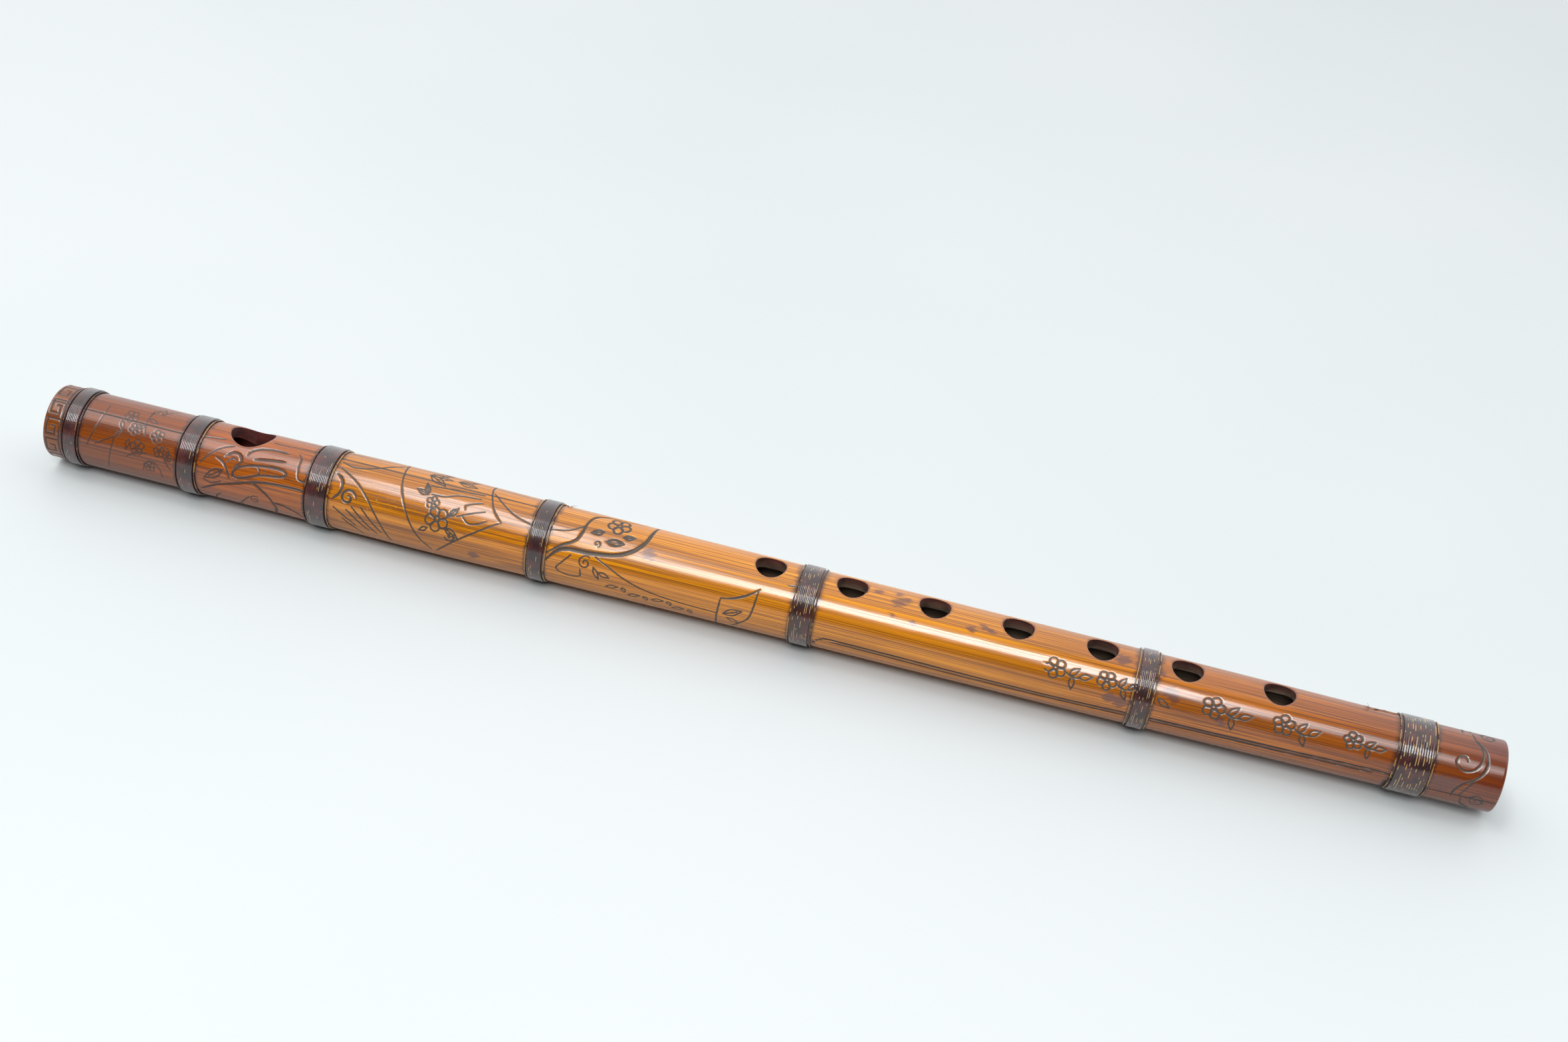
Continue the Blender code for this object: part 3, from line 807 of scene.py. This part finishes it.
def bamboo_material():
    """Amber lacquered bamboo with dark fibres, darker and redder at both ends."""
    look = Looks("bamboo_lacquer", specular=0.85)
    along = look.attribute("along")
    body = look.ramp(along, [(place, srgb(*color)) for place, color in BODY_COLORS])
    pale = look.mix(1.0, body, (1.45, 1.6, 1.3), "MULTIPLY")
    dark = look.mix(0.75, body, srgb(66, 26, 6))
    broad = look.texture(4.0, 520.0)
    fine = look.texture(5.0, 3300.0, detail=1.5, rough=0.6)
    hair = look.texture(14.0, 5600.0, detail=1.0)
    cloudy = look.texture(26.0, 60.0, detail=4.0)
    rubbed = look.times(look.step(along, 0.21, 0.25), look.step(along, 0.32, 0.36, 1.0, 0.0))
    chips = look.plus(look.texture(900.0, 1700.0, detail=4.0, rough=0.7), look.times(rubbed, 0.05))
    patches = look.plus(look.texture(45.0, 130.0, detail=2.0), look.times(rubbed, 0.05))
    chipped = look.times(look.step(chips, 0.66, 0.72), look.step(patches, 0.56, 0.66))
    foot = look.times(look.step(along, 0.97, 0.998), look.step(cloudy, 0.35, 0.6))
    carved, cracked, inside = (look.attribute(name) for name in ("carve", "crack", "inside"))
    dust = look.texture(60.0, 420.0, detail=4.0)
    dusty = look.mix(look.step(dust, 0.35, 0.7), srgb(78, 62, 50), srgb(122, 102, 84))
    lacquered = look.mix(look.step(dust, 0.35, 0.7), srgb(58, 22, 18), srgb(104, 38, 30))
    bore = look.mix(look.step(along, 0.36, 0.55), lacquered, dusty)
    color = look.layers(
        body,
        (look.step(broad, 0.42, 0.66), pale),
        (look.step(fine, 0.53, 0.60, 0.0, 0.75), dark),
        (look.step(hair, 0.57, 0.63, 0.0, 0.6), dark),
        (look.step(cloudy, 0.5, 0.75, 0.0, 0.35), look.mix(0.6, body, srgb(96, 38, 12))),
        (chipped, srgb(196, 146, 76)),
        (look.times(look.attribute("stain"), 0.75), srgb(92, 52, 46)),
        (look.times(look.attribute("shade"), 0.85), srgb(52, 20, 16)),
        (look.times(foot, 0.65), srgb(88, 18, 10)),
        (look.times(look.attribute("lip"), 0.6), srgb(70, 30, 18)),
        (look.step(carved, 0.06, 0.6, 0.0, 0.94),
         look.mix(look.step(along, 0.1, 0.21), srgb(58, 28, 14), srgb(42, 34, 26))),
        (look.step(cracked, 0.1, 0.7, 0.0, 0.96), srgb(34, 22, 17)),
        (inside, look.mix(look.attribute("bore"), lacquered, bore)),
    )
    rough = look.step(fine, 0.3, 0.8, 0.15, 0.30)
    rough = look.plus(rough, look.step(cloudy, 0.55, 0.8, 0.0, 0.14))
    rough = look.plus(rough, look.times(look.math("MAXIMUM", carved, cracked), 0.4))
    rough = look.plus(rough, look.times(inside, 0.35), clamp=True)
    normal = look.bump(fine, 0.3, 0.00004)
    peel = look.texture(120.0, 480.0)
    normal = look.bump(peel, 0.3, 0.00005, normal)
    return look.done(color, rough, normal)


def make_tube():
    s, a = skin_grid()
    carver = Carver(s, a)
    carve_all(carver)
    splits = Carver(s, a)
    cut_cracks(splits)
    mesh = cut_holes(tube_blank(s, a, skin_radius(s, a, carver.depth, splits.depth)))
    paint_tube(mesh, s, a, carver.ink, splits.ink)
    mesh.name = "carved_tube"
    add_piece("carved_tube", mesh, "flute", ["bamboo_tube"], bamboo_material(), sharp=40)


# ---- the bindings

THREAD_COLUMNS = 192
ROWS_PER_TURN = 7
STRAND_COLUMNS = 320
STRAND_SIDES = 14
STRAND_RADIUS = 0.21  # mm
STRAND_TWISTS = 60  # how many times a ply comes to the top of the strand in one turn about the bore


def thread_material():
    """Dark maroon lacquer over wound thread, worn through to golden dashes along the turns."""
    look = Looks("lacquered_thread", coat=1.0, coat_roughness=0.08, specular=0.5)
    turn = look.attribute("turn")
    arc = look.attribute("arc")
    crest = look.attribute("crest")
    whole = look.math("FLOOR", turn)
    dashes = look.plane_noise(look.times(arc, 0.36), look.times(whole, 7.31), 1.5)
    worn = look.plus(dashes, look.times(look.attribute("wear"), 0.17))
    gold = look.times(look.step(worn, 0.66, 0.70), look.step(crest, 0.82, 0.96))
    patch = look.texture(300.0, 300.0)
    color = look.mix(look.step(patch, 0.4, 0.7), srgb(44, 15, 13), srgb(86, 30, 22))
    # Painted shade: the colour darkens in the valleys between the turns, where crest is low.
    color = look.mix(look.step(crest, 0.0, 0.7, 0.6, 0.0), color, srgb(30, 12, 10))
    shine = look.mix(look.step(dashes, 0.3, 0.6), srgb(122, 88, 50), srgb(176, 138, 84))
    color = look.mix(gold, color, shine)
    strands = look.plane_noise(look.times(arc, 5.0), look.times(turn, 9.0), 2.0)
    rough = look.plus(look.step(strands, 0.3, 0.7, 0.24, 0.4), look.times(gold, 0.2))
    return look.done(color, rough, look.bump(strands, 0.3, 0.00004))


def golden_material():
    """Twisted golden thread, hidden by dark lacquer where it hasn't worn."""
    look = Looks("golden_thread", coat=0.5, coat_roughness=0.15)
    patch = look.texture(420.0, 420.0, detail=4.0, rough=0.6)
    cover = look.math("SUBTRACT", patch, look.times(look.attribute("gold"), 0.3))
    color = look.mix(look.step(cover, 0.22, 0.34), srgb(164, 122, 66), srgb(62, 30, 20))
    # Painted shade: the colour darkens in the crease where the two plies meet.
    color = look.mix(look.step(look.attribute("groove"), 0.3, 1.0, 0.0, 0.75), color, srgb(46, 22, 14))
    fibre = look.texture(3500.0, 3500.0, detail=2.0)
    return look.done(color, look.step(patch, 0.3, 0.7, 0.5, 0.3), look.bump(fibre, 0.5, 0.00004))


def make_winding(name, looks):
    """A winding: closely laid turns of thread, with lacquer in the valleys between them."""
    node = f"{name}_binding_thread"
    start, end, outer = node_span(node)
    wear, _, gap = BINDINGS[name]
    turns = round((end - start) / gap)
    share = np.linspace(0, 1, turns * ROWS_PER_TURN + 1)[:, None]
    theta = full_turn(THREAD_COLUMNS)[None, :]
    seed = SEED + 20 + BINDING_NAMES.index(name)
    sway = 0.12 * wander(theta * ROUND, 9.0, seed, around=True)
    turn = share * turns + theta / math.tau + sway
    crest = np.abs(np.sin(math.pi * turn)) ** 0.8
    whole = np.floor(turn)
    uneven = 0.5 + 0.5 * wander(whole * 17.3 + theta * 2.2, 1.0, seed + 30)
    edge = np.sqrt(1 - np.clip(1 - np.minimum(share, 1 - share) * turns / 0.5, 0, 1) ** 2)
    inner = tube_radius((start + end) / 2) + 0.01
    height = outer - inner
    surface = inner + height * (0.80 + 0.13 * crest * (0.7 + 0.3 * uneven)) * (0.25 + 0.75 * edge)
    s = start + (end - start) * share + 0.0 * theta
    base = np.array([[end], [start]]) + 0.0 * theta
    under = tube_radius(base) - 0.02
    mesh = ring_mesh(node, np.vstack([s, base]), np.vstack([surface, under]), theta)
    for key, grid in (("turn", turn), ("crest", crest * edge), ("arc", theta * ROUND + 0 * share)):
        set_attribute(mesh, key, np.vstack([grid, np.zeros((2, THREAD_COLUMNS))]))
    set_attribute(mesh, "wear", np.full(len(mesh.vertices), wear))
    add_piece(f"{name}_winding", mesh, "flute", [node], looks, sharp=80)


def make_strand(name, side, looks):
    """A golden strand of two plies twisted together, tied round beside a winding."""
    node = f"{name}_binding_{side}_strand"
    start, end, outer = node_span(node)
    centre = (start + end) / 2
    turn = np.linspace(0, math.tau, STRAND_SIDES, endpoint=False)[:, None]
    theta = full_turn(STRAND_COLUMNS)[None, :]
    seed = SEED + 60 + 2 * BINDING_NAMES.index(name) + (side == "head_side")
    lobes = np.abs(np.cos(turn - STRAND_TWISTS * theta / 2))
    reach = STRAND_RADIUS * (0.7 + 0.28 * lobes)
    sway = 0.1 * wander(theta * ROUND, 7.0, seed, around=True)
    seat = tube_radius(centre) + STRAND_RADIUS * 0.9
    s = centre + sway + reach * np.cos(turn)
    radius = np.minimum(seat + reach * np.sin(turn), outer)
    mesh = ring_mesh(node, s, radius, theta)
    # How deep in the crease between the two plies each point lies, read by the material for its painted
    # shade.
    set_attribute(mesh, "groove", 1 - lobes + 0 * s)
    set_attribute(mesh, "gold", np.full(len(mesh.vertices), BINDINGS[name][1][side == "foot_side"]))
    add_piece(f"{name}_{side}_strand", mesh, "flute", [node], looks, sharp=80)


def make_bindings():
    thread, golden = thread_material(), golden_material()
    for name in BINDING_NAMES:
        make_winding(name, thread)
        for side in ("head_side", "foot_side"):
            make_strand(name, side, golden)


THREAD_LIFT = 0.16  # how far the loose thread's middle lies above the bamboo, in mm
PLY_REACH = 0.09  # how far each of its two plies swings about that middle, in mm


def hair_curve(curve, path, radius):
    """Adds one thin strand through points of the row frame to a curve."""
    spline = curve.splines.new("NURBS")
    spline.points.add(len(path) - 1)
    for k, (point, target) in enumerate(zip(path, spline.points)):
        target.co = (*point, 1.0)
        target.radius = radius * (1.0 if k < len(path) - 1 else 0.5)
    spline.use_endpoint_u = True
    spline.order_u = 3


def make_thread_end(node, start, end, frays, looks):
    """A loose end of thread on the bamboo, which frays into hairs where it stops."""
    random = np.random.default_rng(SEED + len(node))
    curve = bpy.data.curves.new(node, "CURVE")
    curve.dimensions = "3D"
    curve.bevel_depth = 0.1 * MM
    curve.bevel_resolution = 2
    curve.use_fill_caps = True
    shares = np.linspace(0, 1, 9)
    s = start[0] + (end[0] - start[0]) * shares
    a = start[1] + (end[1] - start[1]) * shares + 0.25 * np.sin(shares * 9)
    lay = tube_radius(s) + THREAD_LIFT
    for wave in (-PLY_REACH, PLY_REACH):
        path = place_round(s + wave * np.cos(shares * 40), lay, -(a + wave * np.sin(shares * 40)) / ROUND)
        hair_curve(curve, path, 1.0)
    ahead = np.sign(end[0] - start[0])
    for _ in range(frays):
        swing, lift, reach = random.uniform(-1.0, 1.0), random.uniform(0.1, 0.9), random.uniform(0.8, 2.2)
        t = np.linspace(0, 1, 5)
        path = place_round(end[0] + ahead * reach * t * (1 - 0.4 * abs(swing)),
                           tube_radius(end[0]) + THREAD_LIFT + lift * t ** 1.5,
                           -(end[1] + swing * reach * t) / ROUND)
        hair_curve(curve, path, 0.35)
    curve.materials.append(looks)
    obj = add_object(node.replace("_binding_thread_end", "_frayed_thread"), curve)
    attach(obj, "flute")
    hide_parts(node)


def make_thread_ends():
    look = Looks("loose_thread", roughness=0.6)
    patch = look.texture(900.0, 900.0)
    looks = look.done(look.mix(look.step(patch, 0.4, 0.6), srgb(66, 34, 24), srgb(168, 120, 74)))
    barrel_end = node_span("barrel_binding_foot_side_strand")[1]
    foot_start = node_span("foot_end_binding_head_side_strand")[0]
    make_thread_end("barrel_binding_thread_end", (barrel_end, -5.6), (barrel_end + 1.6, -4.2), 3, looks)
    make_thread_end("foot_end_binding_thread_end", (foot_start, -4.6), (foot_start - 7.6, -3.4), 6, looks)


# ---- the closed end

def lathe_mesh(name, outline, columns=128):
    """A solid turned about the bore. Its outline of (s, radius) points starts and ends on the axis."""
    outline = np.array(outline)
    theta = full_turn(columns)
    rings = place_round(outline[1:-1, :1], outline[1:-1, 1:], theta[None, :])
    points = np.vstack([rings.reshape(-1, 3), place_round(outline[[0, -1], 0], 0.0, 0.0)])
    first, last = len(points) - 2, len(points) - 1
    rows = len(outline) - 2
    faces = []
    for i in range(rows - 1):
        for j in range(columns):
            k = (j + 1) % columns
            faces.append((i * columns + j, (i + 1) * columns + j, (i + 1) * columns + k, i * columns + k))
    for j in range(columns):
        k = (j + 1) % columns
        faces.append((first, j, k))
        faces.append((last, (rows - 1) * columns + k, (rows - 1) * columns + j))
    mesh = bpy.data.meshes.new(name)
    mesh.from_pydata([tuple(p) for p in points], [], faces)
    return mesh


def outline_of_plug(start, end, radius, bevel, dish):
    """Half the section of a plug with rounded rims and slightly dished ends."""
    corner = np.linspace(0, math.pi / 2, 5)
    points = [(start + dish, 0.0), (start + dish * 0.8, radius * 0.35), (start + dish * 0.3, radius * 0.7)]
    points += [(start + bevel * (1 - math.cos(t)), radius - bevel * (1 - math.sin(t))) for t in corner]
    points += [(start + (end - start) * share, radius) for share in (0.3, 0.5, 0.7)]
    points += [(end - bevel * (1 - math.sin(t)), radius - bevel * (1 - math.cos(t))) for t in corner]
    points += [(end - dish * 0.3, radius * 0.7), (end - dish * 0.8, radius * 0.35), (end - dish, 0.0)]
    return points


def plug_material():
    """Dark lacquered wood, with the rings of its end grain."""
    look = Looks("plug_wood", coat=0.5, coat_roughness=0.16)
    heart = look.place(Location=(0.0, 0.002, -AXIS_Z + 0.001))
    rings = look.add("TexWave", {"Vector": heart, "Scale": 260.0, "Distortion": 2.5, "Detail": 3.0},
                     wave_type="RINGS", rings_direction="X").outputs["Fac"]
    grain = look.texture(900.0, 900.0, detail=4.0)
    color = look.mix(look.step(rings, 0.3, 0.7), srgb(58, 24, 14), srgb(104, 50, 26))
    color = look.mix(look.step(grain, 0.45, 0.7, 0.0, 0.5), color, srgb(34, 14, 10))
    return look.done(color, look.step(grain, 0.3, 0.7, 0.3, 0.5), look.bump(rings, 0.2, 0.0001))


def cork_material():
    """Pale cork with dark flecks and small pits."""
    look = Looks("cork", roughness=0.85)
    cells = look.texture(1400.0, 1400.0, detail=4.0, rough=0.7)
    flecks = look.texture(700.0, 700.0, detail=5.0, rough=0.75)
    color = look.mix(look.step(cells, 0.35, 0.65), srgb(196, 148, 96), srgb(158, 108, 64))
    color = look.mix(look.step(flecks, 0.6, 0.7), color, srgb(84, 50, 30))
    return look.done(color, None, look.bump(look.math("SUBTRACT", cells, flecks), 0.6, 0.0003))


PLUG_INSET = 0.15  # how far the plug's face lies behind the head rim, in mm
PLUG_PLAY = 0.03  # how much thinner than the bore the plug is, in mm


def make_closed_end():
    """The plug in the head and the tuning cork behind it. Bevels and dishes are in mm."""
    start, end, _ = node_span("head_plug")
    outline = outline_of_plug(start + PLUG_INSET, end, BORE_RADIUS - PLUG_PLAY, bevel=0.35, dish=0.5)
    plug = lathe_mesh("wooden_plug", outline)
    add_piece("wooden_plug", plug, "flute", ["head_plug"], plug_material())
    start, end, radius = node_span("cork_stopper")
    cork = lathe_mesh("tuning_cork", outline_of_plug(start, end, radius, bevel=0.6, dish=0.0))
    add_piece("tuning_cork", cork, "stopper", ["cork_stopper"], cork_material())


# ---- stage, light and camera

FLOOR_HALF = 4.0  # half the floor sheet's side, in metres
SOFTBOX_REACH = 2.5  # from the flute's axis, in metres
SOFTBOX_COLOR = (0.95, 0.985, 1.0)
SOFTBOXES = {  # from x, to x, tilt, spread and radiance
    "front_softbox": (-0.51, 0.44, 37.5, 20.0, 13.5),
    "foot_softbox": (0.44, 0.92, 35.0, 20.0, 4.2),
    "barrel_softbox": (-1.01, -0.51, 15.0, 30.0, 9.5),
    "head_softbox": (-2.14, -1.01, 13.0, 34.0, 2.0),
}
ROOM_COLOR = (0.94, 0.98, 1.0, 1.0)
DIM_BELOW, BRIGHT_ABOVE = -0.25, 0.1  # the room's Y directions between which its light rises
DIM_LIGHT, BRIGHT_LIGHT = 0.1, 1.28
LENS, SENSOR = 45.78, 36.0  # mm
CAMERA_PLACE = (0.0661, -0.4097, 0.3274)
CAMERA_TURN = (54.48, -7.26, 13.42)  # degrees about X, Y and Z


def make_floor():
    """A plain pale sheet that the flute lies on."""
    corners = [(x * FLOOR_HALF, y * FLOOR_HALF, 0) for x, y in ((-1, -1), (1, -1), (1, 1), (-1, 1))]
    mesh = bpy.data.meshes.new("floor")
    mesh.from_pydata(corners, [], [(0, 1, 2, 3)])
    floor = add_object("floor", mesh)
    look = Looks("pale_floor", roughness=0.55, specular=0.3)
    mottle = look.texture(3.0, 3.0, detail=2.0)
    color = look.mix(look.step(mottle, 0.3, 0.7), srgb(198, 201, 201), srgb(203, 205, 205))
    mesh.materials.append(look.done(color))


def softbox(name, start, end, tilt, spread, radiance):
    """A lit panel alongside the flute, from x = start to x = end. Tilt and spread are degrees about its axis.

    Tilt counts from straight up towards -Y.
    """
    angle = math.radians(tilt)
    data = bpy.data.lights.new(name, "AREA")
    data.shape = "RECTANGLE"
    data.size = end - start
    data.size_y = 2 * SOFTBOX_REACH * math.tan(math.radians(spread / 2))
    data.energy = radiance * math.pi * data.size * data.size_y
    data.color = SOFTBOX_COLOR
    light = add_object(name, data)
    across, up = -SOFTBOX_REACH * math.sin(angle), SOFTBOX_REACH * math.cos(angle)
    light.location = ((start + end) / 2, across, AXIS_Z + up)
    light.rotation_euler = (angle, 0.0, 0.0)


def make_room():
    """A pale room, bright above and behind the flute and dim on the camera's side."""
    world = bpy.data.worlds.new("pale_room")
    bpy.context.scene.world = world
    world.use_nodes = True
    nodes, links = world.node_tree.nodes, world.node_tree.links
    direction = nodes.new("ShaderNodeTexCoord")
    parts = nodes.new("ShaderNodeSeparateXYZ")
    strength = nodes.new("ShaderNodeMapRange")
    strength.interpolation_type = "SMOOTHSTEP"
    for key, number in (("From Min", DIM_BELOW), ("From Max", BRIGHT_ABOVE),
                        ("To Min", DIM_LIGHT), ("To Max", BRIGHT_LIGHT)):
        strength.inputs[key].default_value = number
    links.new(direction.outputs["Generated"], parts.inputs["Vector"])
    links.new(parts.outputs["Y"], strength.inputs["Value"])
    background = nodes["Background"]
    background.inputs["Color"].default_value = ROOM_COLOR
    links.new(strength.outputs["Result"], background.inputs["Strength"])


def make_light():
    """The room, and a row of large softboxes in front of the flute and over it."""
    make_room()
    for name, how in SOFTBOXES.items():
        softbox(name, *how)


def make_camera():
    """The view of the flute from above and in front, a little towards its foot."""
    data = bpy.data.cameras.new("camera")
    data.lens = LENS
    data.sensor_width = SENSOR
    data.clip_start = 0.01
    camera = add_object("camera", data)
    camera.location = CAMERA_PLACE
    camera.rotation_euler = Euler([math.radians(d) for d in CAMERA_TURN], "XYZ")
    bpy.context.scene.camera = camera


bpy.context.scene.view_settings.view_transform = "Standard"
make_camera()
make_floor()
make_light()
make_tube()
make_bindings()
make_thread_ends()
make_closed_end()
